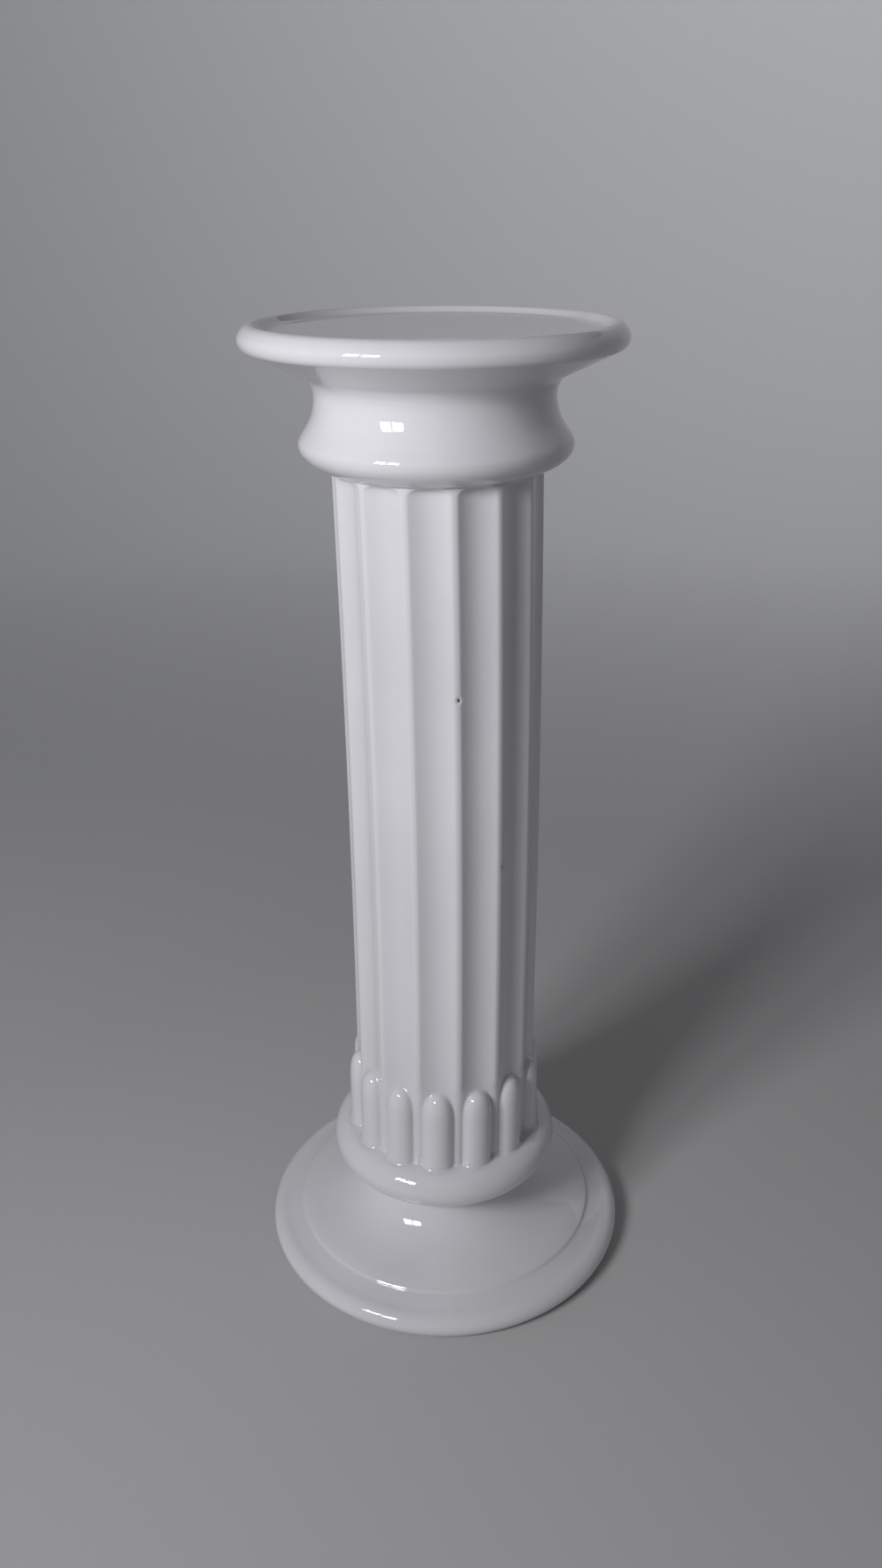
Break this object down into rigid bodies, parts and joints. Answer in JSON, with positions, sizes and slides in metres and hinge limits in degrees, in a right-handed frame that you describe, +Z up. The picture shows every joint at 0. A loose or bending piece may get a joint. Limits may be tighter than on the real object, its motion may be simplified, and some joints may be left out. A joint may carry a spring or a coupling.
{
  "type": "pedestal column",
  "caption": "Fluted pedestal column with a round spreading foot, a moulded capital and a flat recessed top plate that carries a plant pot or ornament.",
  "frame": {"origin": "on the floor, under the centre of the column", "axes": "+Z up along the column's axis; a tongue at the foot of the shaft faces -Y"},
  "size_m": [0.2606, 0.2606, 0.65],
  "materials": {
    "white_glaze": "glossy glaze"
  },
  "bodies": {
    "root": {"pedestal_column": "white_glaze"}
  },
  "joints": []
}
